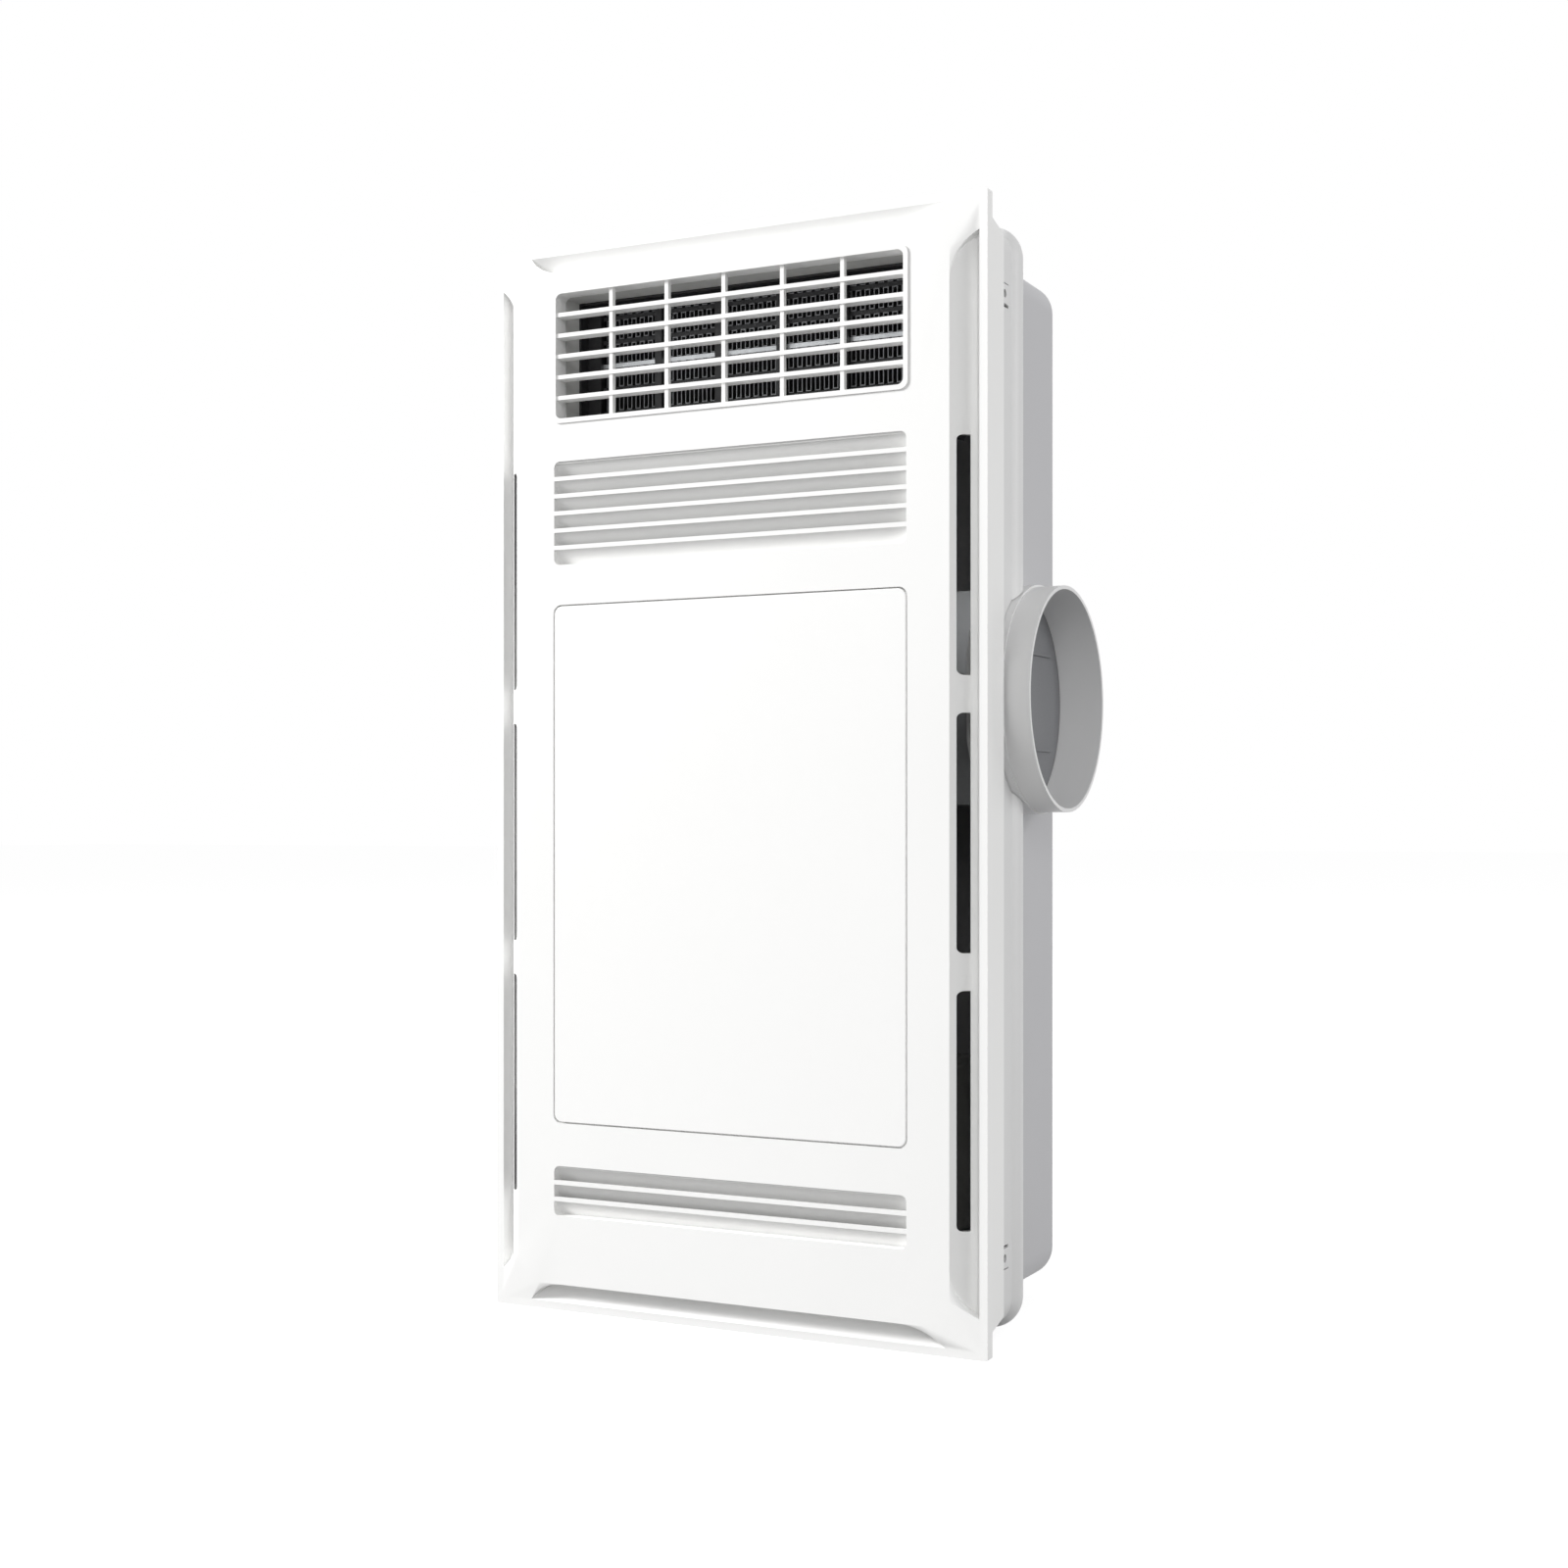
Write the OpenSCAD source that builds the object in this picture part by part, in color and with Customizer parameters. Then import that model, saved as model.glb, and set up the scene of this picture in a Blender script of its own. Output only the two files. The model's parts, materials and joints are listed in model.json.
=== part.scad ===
// Bathroom heater exhaust fan for a 300 x 600 mm suspended ceiling bay.
// X runs across the face, Z along its length and Y from the room into the ceiling.
// The origin is the centre of the ceiling opening, in the plane of the ceiling's lower face.

/* [Face panel] */
// Width of the face panel
panel_w = 300; // [290:1:320]
// Length of the face panel
panel_h = 600; // [590:1:640]
// Thickness of the panel's outer edge, below the ceiling
rim_t = 7; // [5.5:0.5:9]
// Width of the flat edge round the scoops
rim_w = 4.5; // [4:0.5:5]
// Height of the raised field above the edge
face_rise = 6; // [5:0.5:7]
// Wall of the panel moulding
panel_wall = 2.5; // [2:0.1:2.8]
// Distance of the raised field from the panel's long sides
scoop_side = 18.6; // [18:0.1:20]
// Distance of the raised field from the panel's short sides
scoop_end = 16; // [15.5:0.1:17.5]
// Radius of the arcs that close the scoops
scoop_r = 31; // [26:1:36]
// From the panel's end to the end of a side scoop
scoop_side_end = 21; // [19:0.5:25]
// From the panel's side to the end of a top or bottom scoop
scoop_end_side = 23.5; // [21:0.5:27]
// Depth of the scoops behind the edge's front
scoop_depth = 5; // [4.5:0.1:5.5]
// Where the floor of a side scoop begins, as a share of the scoop's width
side_floor = 0.8; // [0.7:0.05:0.85]
// Where the floor of a top or bottom scoop begins, as a share of the scoop's width
end_floor = 0.22; // [0.2:0.02:0.3]

/* [Side intake slots] */
// Slots in each side scoop
slot_n = 3; // [2:1:3]
// Length of one slot
slot_len = 123.5; // [100:0.5:126]
// Distance between two slots
slot_gap = 19.3; // [16:0.1:22]
// Height of the middle of the row of slots
slot_z = -30; // [-32:1:-20]

/* [Skirt] */
// Inset of the skirt from the panel's edge
skirt_in = 2; // [1.5:0.1:2.5]
// Wall of the skirt
skirt_t = 2; // [1.5:0.1:2.2]
// Depth of the skirt above the ceiling's face
skirt_d = 22; // [18:0.5:24]

/* [Warm air outlet] */
// Panel left beside the warm air outlet
outlet_side = 44; // [43:0.5:50]
// Height of the outlet opening
outlet_h = 70; // [64:1:72]
// From the panel's top edge to the middle of the outlet
outlet_in = 63; // [62:0.5:66]
// Flat bars of the grille
bar_rows = 5; // [4:1:6]
// Upright bars of the grille
bar_cols = 5; // [4:1:7]
// Thickness of a grille bar
bar_t = 2.3; // [1.8:0.1:2.8]
// Width of the bead round the grille
bead_w = 2.6; // [2.2:0.1:3]
// Height of the bead above the field
bead_t = 0.8; // [0.5:0.1:1.2]
// Depth of the grille insert
grille_d = 10; // [8:0.5:10.5]
// Depth of the grille's uprights
upright_d = 3; // [2.5:0.5:4]

/* [Room air louvres] */
// Panel left beside the louvres
louvre_side = 42.5; // [41:0.5:50]
// Height of the upper louvre
intake_h = 58; // [50:1:60]
// From the panel's top edge to the middle of the intake louvre
intake_in = 151; // [149:0.5:153]
// Slats of the upper louvre
intake_slats = 5; // [4:1:6]
// Height of the lower louvre
exhaust_h = 28; // [25:1:30]
// From the panel's bottom edge to the middle of the exhaust louvre
exhaust_in = 68.5; // [66:0.5:70]
// Slats of the lower louvre
exhaust_slats = 2; // [1:1:3]
// Thickness of a slat's front edge
slat_nose = 2.4; // [1.8:0.1:2.8]
// Depth of a slat
slat_d = 8.5; // [7:0.1:9]
// Corner radius of the louvre openings and of the outlet's opening
corner_r = 3.5; // [2:0.5:3.5]

/* [Light] */
// Panel left beside the light
light_side = 42; // [41:0.5:50]
// From the panel's top edge to the top of the light
light_top = 202.5; // [202:0.5:210]
// From the panel's bottom edge to the foot of the light
light_foot = 106.5; // [106:0.5:112]
// Corner radius of the light opening
light_r = 5; // [3:0.5:8]
// Groove between the diffuser and the panel
light_gap = 0.8; // [0.4:0.1:1]
// Thickness of the diffuser
diffuser_t = 2.2; // [1.8:0.1:2.5]
// Depth of the light pan
pan_d = 20; // [16:0.5:22]
// Sheet thickness of the light pan
pan_t = 1.2; // [0.8:0.1:1.5]
// Light strips
strip_n = 4; // [3:1:5]
// Width of a light strip
strip_w = 18; // [14:1:24]
// Chips on each strip
chip_n = 12; // [8:1:14]

/* [Chassis tray] */
// Inset of the tray's sides from the panel's edge
tray_in_x = 8; // [7.5:0.1:9]
// Inset of the tray's ends from the panel's edge
tray_in_z = 5; // [4.8:0.1:6]
// Corner radius of the tray
tray_r = 15; // [14:1:20]
// Depth of the tray
tray_d = 65; // [62:0.5:70]
// Wall of the tray
tray_t = 1.5; // [1.2:0.1:1.8]
// Height of the rolled rib at the tray's rear edge
rib_t = 3; // [2:0.1:3.4]
// Width of the rolled rib
rib_w = 15; // [13:0.5:18]
// Radius of a side fixing hole
fix_r = 2.2; // [1.8:0.1:2.6]
// From the end of the tray's rounded corner to a fixing hole
fix_in = 24; // [18:1:28]

/* [Rear housing] */
// Inset of the housing's sides from the tray's sides
house_in_x = 11; // [10.5:0.1:12]
// Inset of the housing's ends from the tray's ends
house_in_z = 7; // [7:0.1:8.5]
// Depth of the housing behind the tray
house_d = 88; // [86:0.5:94]
// Corner radius of the housing
house_r = 18; // [16:0.5:22]
// Rounding of the housing's rear edges
house_edge = 7; // [4:0.5:8]
// Sheet thickness of the housing
house_t = 1.5; // [1.2:0.1:1.8]

/* [Duct collar] */
// Outer radius of the collar
collar_r = 62; // [60:0.5:62.5]
// Wall of the collar
collar_t = 2; // [1.6:0.1:2.4]
// How far the collar stands out from the tray
collar_len = 19; // [16:1:38]
// Height of the shoulder that stops the duct
shoulder_h = 1; // [0.6:0.1:1.5]
// Distance of the collar's axis above the ceiling's face
collar_y = 87; // [85:0.5:89]
// Height of the collar's axis
collar_z = 43; // [40:1:45]
// Thickness of a damper leaf
leaf_t = 1.5; // [1.2:0.1:1.8]
// Radius of the damper pin
pin_r = 1.5; // [1.2:0.1:1.8]

/* [Heater] */
// Depth of the heater block
heater_d = 15; // [12:0.5:16]
// Distance from the ceiling's face to the heater's front
heater_y = 21; // [20:0.5:22]
// How far the heater's frame reaches in front of it
frame_lead = 10; // [8:0.5:12]
// Height of the frame's rails above and below the fins
rail_h = 1.8; // [1.6:0.1:2.2]
// Width of the caps at the ends of the heater
cap_w = 9.6; // [8:0.2:11]
// Heating strips
ptc_n = 5; // [3:2:5]
// Distance between the middles of two heating strips
ptc_pitch = 13.6; // [13:0.1:14]
// Height of a heating strip
ptc_h = 2.4; // [2:0.1:3]
// Pitch of the folded fins
fin_pitch = 5.4; // [4.5:0.1:6]
// Sheet thickness of the fins
fin_t = 0.5; // [0.4:0.05:0.7]

/* [Warm air fan] */
// Radius of the cross-flow wheel
warm_r = 31; // [28:0.5:32]
// Distance of the wheel's axis above the ceiling's face
warm_y = 78; // [77:0.5:80]
// How far the fan's axis is below the middle of the outlet
warm_drop = 11; // [9:0.5:12]
// How much shorter the fan wheel is than the outlet
warm_short = 28; // [26:1:40]
// Blades of the wheel
warm_blades = 24; // [18:1:30]
// Length of the fan motor
warm_motor_len = 28; // [22:0.5:30]
// Radius of the fan motor
warm_motor_r = 26; // [22:0.5:27]

/* [Exhaust blower] */
// Radius of the blower wheel
wheel_r = 62; // [56:0.5:64]
// Depth of the blower wheel
wheel_len = 52; // [44:0.5:54]
// Blades of the blower wheel
wheel_blades = 36; // [24:1:40]
// From the housing's wall to the middle of the exhaust wheel
wheel_in = 105; // [104:0.5:107]
// Distance of the wheel's axis below the origin
wheel_drop = 18; // [16:0.5:20]
// Inside depth of the scroll
scroll_d = 66; // [62:0.5:68]
// Wall of the scroll
scroll_t = 2; // [1.6:0.1:2.4]
// Radius of the blower motor
blower_motor_r = 40; // [36:0.5:44]

/* [Control box] */
// Width of the control box
box_w = 170; // [150:1:190]
// Height of the control box
box_h = 100; // [90:1:104]
// Depth of the control box
box_d = 46; // [40:1:52]
// From the panel's bottom edge to the middle of the control box
box_in = 88; // [84:1:94]

/* [Clearances] */
// Gap between mouldings that slide past each other
fit_gap = 0.4; // [0.3:0.05:0.5]
// Radial running clearance of a shaft or pin
run_gap = 0.06; // [0.04:0.01:0.09]
// Gap between a fan wheel and its casing
fan_gap = 3; // [2:0.1:3.5]
// Gap between a closed damper leaf and its seat
seat_gap = 0.15; // [0.1:0.05:0.3]
// Radius of the small screws
screw_r = 1.75; // [1.5:0.05:2]

/* [Hidden] */
$fn = 48;
cut = 1;
scoop_side_len = panel_h - 2 * scoop_side_end;
scoop_end_len = panel_w - 2 * scoop_end_side;
outlet_w = panel_w - 2 * outlet_side;
outlet_z = panel_h / 2 - outlet_in;
louvre_w = panel_w - 2 * louvre_side;
intake_z = panel_h / 2 - intake_in;
exhaust_z = exhaust_in - panel_h / 2;
light_w = panel_w - 2 * light_side;
light_h = panel_h - light_top - light_foot;
light_z = (light_foot - light_top) / 2;
warm_z = outlet_z - warm_drop;
warm_len = outlet_w - warm_short;
box_z = box_in - panel_h / 2;
face_y = -rim_t - face_rise;
inner_y = face_y + panel_wall;
field_x = panel_w / 2 - scoop_side;
field_z = panel_h / 2 - scoop_end;
lip_x = panel_w / 2 - rim_w;
lip_z = panel_h / 2 - rim_w;
skirt_x = panel_w / 2 - skirt_in;
skirt_z = panel_h / 2 - skirt_in;
tray_x = panel_w / 2 - tray_in_x;
tray_z = panel_h / 2 - tray_in_z;
fix_z = tray_z - tray_r - fix_in;
collar_x = tray_x + collar_len;
tray_front = 4;
slat_back = 1.2;
house_x = tray_x - house_in_x;
house_z = tray_z - house_in_z;
back_y = tray_d + house_d;
bore_r = collar_r - collar_t;
grille_y = face_y + grille_d;
light_y = face_y + diffuser_t;
pan_w = light_w + 16;
pan_h = light_h + 14;
pan_y = inner_y + 1.9;
pan_back = pan_y + pan_d;
duct_front = grille_y + 0.5;
duct_t = 1.5;
duct_back = heater_y + heater_d + 2;
core_h = outlet_h - fit_gap - 2 * rail_h;
cutout_y = heater_y + 6;
scroll_y0 = collar_y - scroll_d / 2;
scroll_y1 = collar_y + scroll_d / 2;
scroll_x = wheel_in - house_x;
scroll_z = -wheel_drop;
mouth_h = 2 * bore_r - 8;
scroll_rmax = collar_z + mouth_h / 2 - scroll_z;
scroll_rmin = wheel_r + 2 * fan_gap;
leaf_x = house_x + 4;
leaf_r = bore_r - fit_gap;
barrel_r = pin_r + 1.6;
seat_r = bore_r - 4;
shoulder_x = tray_x + rib_t + 1;
base_r = collar_r + shoulder_h;
wheel_y0 = scroll_y0 + scroll_t + 3;
box_y1 = back_y - house_t;
box_y0 = box_y1 - box_d;
gland_x = 64;
gland_y = 118;
gland_r = 8;
gland_hole = 2 * gland_r + 0.6;
clip_x = 86;
clip_w = 14;
clip_y1 = 30;
fix_y = 37;
pad_half = 5.25;
strip_y = pan_back - pan_t;
strip_len = pan_h - 36;
strip_pitch = (pan_w - 10) / strip_n;
flange_w = outlet_w + 14;
flange_h = outlet_h + 11;
core_w = outlet_w - fit_gap - 2 * cap_w - 0.2;
wheel_side = 2.5;
casing_t = 1.5;
warm_x0 = -outlet_w / 2 + 16;
warm_x1 = warm_x0 + warm_len;
casing_x0 = warm_x0 - wheel_side - casing_t;
casing_x1 = warm_x1 + wheel_side + casing_t;
warm_gap_r = warm_r + fan_gap;
warm_top = outlet_z + outlet_h / 2;
shaft_r = 3;
bush_r = 9;
axle_r = 4;
scroll_back = scroll_y1 - scroll_t;
wheel_y1 = wheel_y0 + wheel_len;
scroll_end = house_x - house_t - 2 - 0.1;
post_r = 5;
box_t = 2;
lid_post_r = 4.5;
board_y = box_y1 - box_t - 7;
scoop_wall = 2.2;
clip_root_y = scoop_depth - rim_t + scoop_wall + 0.05;
clip_steel = 1;

// Turns a drawing of the face (X, Z) and a height Y upright: x to X, y to Z, z to Y.
module stand() {
  rotate([-90, 0, 0]) mirror([0, 1, 0]) children();
}

// Extrudes a profile drawn in Y and Z along X.
module along_x(x0, x1) {
  translate([x0, 0, 0]) rotate([90, 0, 90]) linear_extrude(x1 - x0) children();
}

module rrect(w, h, r) {
  square([w - 2 * r, h], center = true);
  square([w, h - 2 * r], center = true);
  for (sx = [-1, 1], sy = [-1, 1])
    translate([sx * (w / 2 - r), sy * (h / 2 - r)]) circle(r);
}

// Slab with rounded corners, seen from the room, between two heights.
module slab(w, h, r, y0, y1, z = 0, x = 0) {
  stand() translate([x, z, y0]) linear_extrude(y1 - y0) rrect(w, h, r);
}

module bar_y(x, z, r, y0, y1) {
  stand() translate([x, z, y0]) cylinder(r = r, h = y1 - y0);
}

module bar_x(y, z, r, x0, x1) {
  translate([x0, y, z]) rotate([0, 90, 0]) cylinder(r = r, h = x1 - x0);
}

module bar_z(x, y, r, z0, z1) {
  translate([x, y, z0]) cylinder(r = r, h = z1 - z0);
}

// Sweeps a profile round a rounded rectangle. The profile's x is measured from the corner's centre.
module band(w, h, r) {
  stand() {
    for (s = [0, 1]) mirror([s, 0, 0]) {
      translate([w / 2 - r, h / 2 - r, 0]) rotate([90, 0, 0]) linear_extrude(h - 2 * r) children();
      translate([w / 2 - r, h / 2 - r, 0]) rotate_extrude(angle = 90) children();
      translate([w / 2 - r, r - h / 2, 0]) rotate([0, 0, -90]) rotate_extrude(angle = 90) children();
    }
    for (s = [0, 1]) mirror([0, s, 0])
      translate([r - w / 2, h / 2 - r, 0]) rotate([90, 0, 90]) linear_extrude(w - 2 * r) children();
  }
}

// Closed tub with rounded rear edges.
module tub(w, h, r, edge, y0, y1) {
  slab(w, h, r, y0, y1 - edge);
  slab(w - 2 * edge, h - 2 * edge, r - edge, y0, y1);
  band(w, h, r) translate([r - edge, y1 - edge]) intersection() {
    circle(edge);
    square(edge);
  }
}

// Outline of one scoop, along y, with its straight edge at x = near and arcs at both ends.
module scoop_outline(near, far, len, grow) {
  straight = len / 2 - sqrt(scoop_r * scoop_r - pow(scoop_r - (far - near), 2));
  intersection() {
    translate([near - grow, -len]) square([far - near + 2 * grow, 2 * len]);
    union() {
      translate([near - grow, -straight]) square([far - near + 2 * grow, 2 * straight]);
      for (s = [-1, 1]) translate([near + scoop_r, s * straight]) circle(scoop_r + grow);
    }
  }
}

// Cross-section of one scoop: an inner wall, a narrow floor from the given share of the width on,
// and a wall up to the edge.
function scoop_section(near, far, share, grow) = [
  [near - 1.25 * grow, face_y - cut],
  [near - 1.25 * grow, face_y],
  [near + share * (far - near) - grow, scoop_depth - rim_t + grow],
  [near + (share + 0.11) * (far - near) + 0.6 * grow, scoop_depth - rim_t + grow],
  [far + 1.2 * grow, -rim_t],
  [far + 1.2 * grow, face_y - cut]
];

module side_scoop(grow) {
  intersection() {
    stand() translate([0, 0, face_y - 2 * cut]) linear_extrude(face_rise + rim_t + 9)
      scoop_outline(field_x, lip_x, scoop_side_len, grow);
    translate([0, 0, -panel_h / 2]) linear_extrude(panel_h)
      polygon(scoop_section(field_x, lip_x, side_floor, grow));
  }
}

module end_scoop(grow) {
  intersection() {
    stand() translate([0, 0, face_y - 2 * cut]) linear_extrude(face_rise + rim_t + 9)
      rotate(90) mirror([0, 1]) scoop_outline(field_z, lip_z, scoop_end_len, grow);
    along_x(-panel_w / 2, panel_w / 2)
      polygon([for (p = scoop_section(field_z, lip_z, end_floor, grow)) [p[1], p[0]]]);
  }
}

module scoops(grow) {
  for (s = [0, 1]) mirror([s, 0, 0]) side_scoop(grow);
  for (s = [0, 1]) mirror([0, 0, s]) end_scoop(grow);
}

// Raised field with sloping corners, from the edge up to the face.
module field(inset, y_top, y_base) {
  hull() {
    slab(2 * (lip_x - inset), 2 * (lip_z - inset), 3, y_base - 0.1, y_base);
    slab(2 * (field_x - inset), 2 * (field_z - inset), 14, y_top, y_top + 0.1);
  }
}

// Intake slots in the inner walls of the side scoops.
module side_slots() {
  pitch = slot_len + slot_gap;
  near = field_x - 8;
  far = field_x + 0.6 * (lip_x - field_x);
  y0 = inner_y + 0.3;
  y1 = scoop_depth - rim_t + scoop_wall + cut;
  for (s = [0, 1], i = [0:slot_n - 1]) mirror([s, 0, 0])
    translate([0, 0, slot_z + (i - (slot_n - 1) / 2) * pitch]) along_x(near, far) {
      translate([y0 + 3, -slot_len / 2]) square([y1 - y0 - 3, slot_len]);
      translate([y0, 3 - slot_len / 2]) square([y1 - y0, slot_len - 6]);
      for (e = [-1, 1]) translate([y0 + 3, e * (slot_len / 2 - 3)]) circle(3);
    }
}

// Slats that lean back and down, so that the louvre looks closed from the front. The top one
// starts a little behind the face and leaves the opening's round corners in sight.
module slats(h, z, n) {
  pitch = h / (n + 1);
  along_x(-louvre_w / 2 - 1, louvre_w / 2 + 1)
    for (i = [0:n]) let (back = i == 0 ? slat_back : 0)
      translate([face_y, z + h / 2 - i * pitch]) polygon([
        [back, slat_nose / 2], [back, -slat_nose / 2], [back + 1, -slat_nose / 2],
        [slat_d, -1.12 * pitch - slat_nose / 4], [slat_d, 1.4 - 1.12 * pitch + slat_nose / 4],
        [back + 1.6, slat_nose / 2]
      ]);
}

module louvre_frame(h, z) {
  difference() {
    slab(louvre_w + 4, h + 4, 4, inner_y - 0.5, face_y + slat_d + 0.5, z);
    slab(louvre_w, h, corner_r, face_y - cut, face_y + slat_d + cut, z);
  }
}

// One skirt wall with ogee ends, drawn along y from its middle, x is the height.
module skirt_outline(len) {
  drop = 6;
  points = [for (a = [0:15:180]) [skirt_d / 2 - skirt_d / 2 * cos(a) , len / 2 - drop * (1 - cos(a)) / 2]];
  polygon(concat([[-rim_t + panel_wall - 0.5, len / 2]], points,
    [for (i = [len(points) - 1:-1:0]) [points[i][0], -points[i][1]]],
    [[-rim_t + panel_wall - 0.5, -len / 2]]));
}

module skirts() {
  for (s = [0, 1]) mirror([s, 0, 0]) along_x(skirt_x - skirt_t, skirt_x)
    skirt_outline(2 * skirt_z - 18);
  for (s = [0, 1]) mirror([0, 0, s]) translate([0, 0, skirt_z - skirt_t]) linear_extrude(skirt_t)
    rotate(90) mirror([0, 1]) skirt_outline(2 * skirt_x - 18);
}

module light_boss_places() {
  for (sx = [-1, 1], sz = [-1, 0, 1])
    translate([sx * (pan_w / 2 + 3.5), 0, light_z + sz * (pan_h / 2 - 22)]) children();
}

module front_panel() {
  color("white") difference() {
    union() {
      difference() {
        union() {
          slab(panel_w, panel_h, 1.5, -rim_t, 0);
          field(0, face_y, -rim_t + 0.1);
        }
        slab(2 * (skirt_x - skirt_t), 2 * (skirt_z - skirt_t), 2, panel_wall - rim_t, cut);
        field(panel_wall, inner_y, panel_wall - rim_t + 0.1);
      }
      intersection() {
        scoops(scoop_wall);
        union() {
          field(0, face_y, -rim_t + 0.1);
          slab(2 * skirt_x, 2 * skirt_z, 2, -rim_t, 2);
        }
      }
      skirts();
      louvre_frame(intake_h, intake_z);
      louvre_frame(exhaust_h, exhaust_z);
      light_boss_places() bar_y(0, 0, 3.2, inner_y - 0.5, pan_y - 0.2);
    }
    scoops(0);
    side_slots();
    slab(louvre_w, intake_h, corner_r, face_y - cut, face_y + slat_d + cut, intake_z);
    slab(louvre_w, exhaust_h, corner_r, face_y - cut, face_y + slat_d + cut, exhaust_z);
    slab(outlet_w + 2 * bead_w - 2, outlet_h + 2 * bead_w - 2, 2, face_y - cut, cut, outlet_z);
    slab(light_w, light_h, light_r, face_y - cut, inner_y + cut, light_z);
    light_boss_places() bar_y(0, 0, 1.3, inner_y + 0.3, pan_y + cut);
  }
  color("white") intersection() {
    union() {
      slats(intake_h, intake_z, intake_slats);
      slats(exhaust_h, exhaust_z, exhaust_slats);
    }
    union() {
      slab(louvre_w + 1, intake_h + 1, corner_r + 0.5, face_y, face_y + slat_d, intake_z);
      slab(louvre_w + 1, exhaust_h + 1, corner_r + 0.5, face_y, face_y + slat_d, exhaust_z);
    }
  }
}

module outlet_grille() {
  row = outlet_h / (bar_rows + 1);
  col = outlet_w / (bar_cols + 1);
  neck = 1.2 + fit_gap / 2;
  color("white") {
    difference() {
      union() {
        slab(outlet_w + 2 * bead_w, outlet_h + 2 * bead_w, 5, face_y - bead_t, face_y, outlet_z);
        slab(outlet_w + 2 * bead_w - 2 * neck, outlet_h + 2 * bead_w - 2 * neck, 2,
          face_y - bead_t, grille_y, outlet_z);
      }
      slab(outlet_w, outlet_h, corner_r, face_y - bead_t - cut, grille_y + cut, outlet_z);
    }
    for (i = [1:bar_rows])
      translate([-outlet_w / 2 - 0.5, face_y, outlet_z - outlet_h / 2 + i * row - bar_t / 2])
        cube([outlet_w + 1, grille_d - 2, bar_t]);
    for (i = [1:bar_cols])
      translate([-outlet_w / 2 + i * col - bar_t / 2, face_y + 0.6, outlet_z - outlet_h / 2 - 0.5])
        cube([bar_t, upright_d, outlet_h + 1]);
  }
}

module light_diffuser() {
  w = light_w - 2 * light_gap;
  h = light_h - 2 * light_gap;
  wall = 2;
  color("whitesmoke") difference() {
    union() {
      slab(w, h, light_r - light_gap / 2, face_y, pan_y - 0.1, light_z);
      slab(pan_w - 1, pan_h - 1, light_r + 2, inner_y + 0.1, pan_y - 0.1, light_z);
    }
    slab(w - 2 * wall, h - 2 * wall, light_r - wall, light_y, pan_y + cut, light_z);
  }
}

module light_pan() {
  color("gainsboro") difference() {
    union() {
      slab(pan_w, pan_h, 5, pan_y, pan_back, light_z);
      light_boss_places() slab(9, 14, 3, pan_y, pan_y + pan_t);
    }
    slab(pan_w - 2 * pan_t, pan_h - 2 * pan_t, 5 - pan_t, pan_y - cut, pan_back - pan_t, light_z);
    light_boss_places() bar_y(0, 0, screw_r + 0.2, pan_y - cut, pan_y + pan_t + cut);
  }
}

module light_strips() {
  color("white") for (i = [0:strip_n - 1])
    translate([(i - (strip_n - 1) / 2) * strip_pitch, 0, 0])
      slab(strip_w, strip_len, 2, strip_y - 1.6, strip_y, light_z);
}

module light_chips() {
  pitch = strip_len / chip_n;
  color("khaki") for (i = [0:strip_n - 1], k = [0:chip_n - 1])
    translate([(i - (strip_n - 1) / 2) * strip_pitch - 1.75, strip_y - 2.6,
      light_z + (k - (chip_n - 1) / 2) * pitch - 1.75]) cube([3.5, 1, 3.5]);
}

module light_driver() {
  color("ivory") difference() {
    slab(96, 40, 4, pan_back, pan_back + 17, light_z - 90);
    for (s = [-1, 1]) bar_y(s * 42, light_z - 90, 1.6, pan_back + 6, pan_back + 18);
  }
}

module pan_screws() {
  color("silver") light_boss_places() {
    bar_y(0, 0, 1.25, inner_y + 0.4, pan_y + pan_t);
    difference() {
      bar_y(0, 0, 3, pan_y + pan_t, pan_y + pan_t + 1.8);
      for (a = [0, 90]) rotate([0, a, 0]) translate([-1.6, pan_y + pan_t + 0.9, -0.35])
        cube([3.2, 1, 0.7]);
    }
  }
}

// Leaf springs that hold the panel in the tray: a foot in the panel and a bowed blade.
module panel_clips() {
  // The foot lies on the back of the end scoop and the hump grips the tray's end wall.
  grip_z = tray_z - tray_t - fit_gap;
  hump_y = clip_y1 - 4;
  color("silver") for (s = [0, 1], sx = [-1, 1]) mirror([0, 0, s])
    translate([sx * clip_x - clip_w / 2, 0, 0]) along_x(0, clip_w) {
      polygon([
        [clip_root_y, grip_z - 7.5], [clip_root_y, grip_z - 0.6],
        [clip_root_y + clip_steel, grip_z - 0.6],
        [hump_y - 8, grip_z - 3.4], [hump_y, grip_z],
        [clip_y1 + 1, grip_z - 4], [clip_y1 + 0.3, grip_z - 4.7],
        [hump_y, grip_z - 1.2], [hump_y - 8, grip_z - 4.6],
        [clip_root_y + clip_steel, grip_z - 1.9], [clip_root_y + clip_steel, grip_z - 7.5]
      ]);
    }
}

module fixing_places() {
  for (sx = [-1, 1], sz = [-1, 1]) translate([sx * tray_x, fix_y, sz * fix_z]) children();
}

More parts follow.
